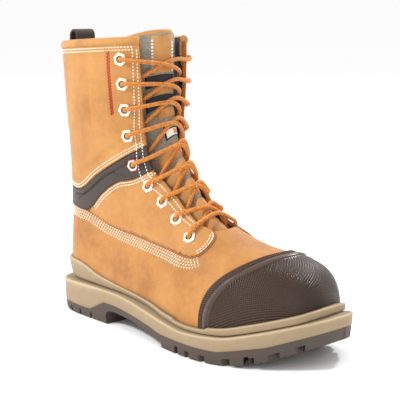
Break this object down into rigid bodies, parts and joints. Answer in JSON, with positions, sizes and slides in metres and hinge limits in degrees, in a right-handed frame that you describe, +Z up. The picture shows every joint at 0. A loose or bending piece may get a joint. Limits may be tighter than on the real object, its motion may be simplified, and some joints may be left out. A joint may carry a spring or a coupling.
{
  "type": "safety work boot",
  "caption": "Tall lace-up safety work boot for the right foot: wheat leather upper, moulded toe bumper, ankle band, tan midsole and lugged brown outsole",
  "frame": {"origin": "on the floor, under the middle of the boot's bounding box", "axes": "+X runs from the heel to the toe, +Y to the arch (inner) side of the foot, +Z up"},
  "size_m": [0.3086, 0.1196, 0.2639],
  "materials": {
    "leather_wheat": "wheat nubuck, matte",
    "rubber_brown": "dark brown moulded rubber, matte",
    "midsole_tan": "tan moulded foam with a fine matte skin",
    "cap_brown": "dark brown moulded bumper, fine diamond grain, satin",
    "binding_dark": "dark stitched binding",
    "band_dark": "dark grey brown moulded band, satin",
    "tongue_fabric": "grey padded fabric with wheat leather strips",
    "insole_grey": "grey footbed cloth",
    "webbing_brown": "dark brown woven webbing",
    "eyelet_cream": "cream enamelled metal",
    "lace_orange": "orange brown round braided lace with light and dark flecks"
  },
  "bodies": {
    "root": {"outsole": "rubber_brown", "midsole": "midsole_tan", "insole": "insole_grey", "upper": "leather_wheat", "toe_cap": "cap_brown", "toe_cap_edge": "binding_dark", "ankle_band_lateral": "band_dark", "ankle_band_medial": "band_dark", "collar": "leather_wheat", "tongue": "tongue_fabric", "pull_loop": "webbing_brown", "lace": "lace_orange", "eyelet_lateral_1": "eyelet_cream", "eyelet_lateral_2": "eyelet_cream", "eyelet_lateral_3": "eyelet_cream", "eyelet_lateral_4": "eyelet_cream", "eyelet_lateral_5": "eyelet_cream", "eyelet_lateral_6": "eyelet_cream", "eyelet_lateral_7": "eyelet_cream", "eyelet_lateral_8": "eyelet_cream", "eyelet_lateral_9": "eyelet_cream", "eyelet_medial_1": "eyelet_cream", "eyelet_medial_2": "eyelet_cream", "eyelet_medial_3": "eyelet_cream", "eyelet_medial_4": "eyelet_cream", "eyelet_medial_5": "eyelet_cream", "eyelet_medial_6": "eyelet_cream", "eyelet_medial_7": "eyelet_cream", "eyelet_medial_8": "eyelet_cream", "eyelet_medial_9": "eyelet_cream"}
  },
  "joints": []
}
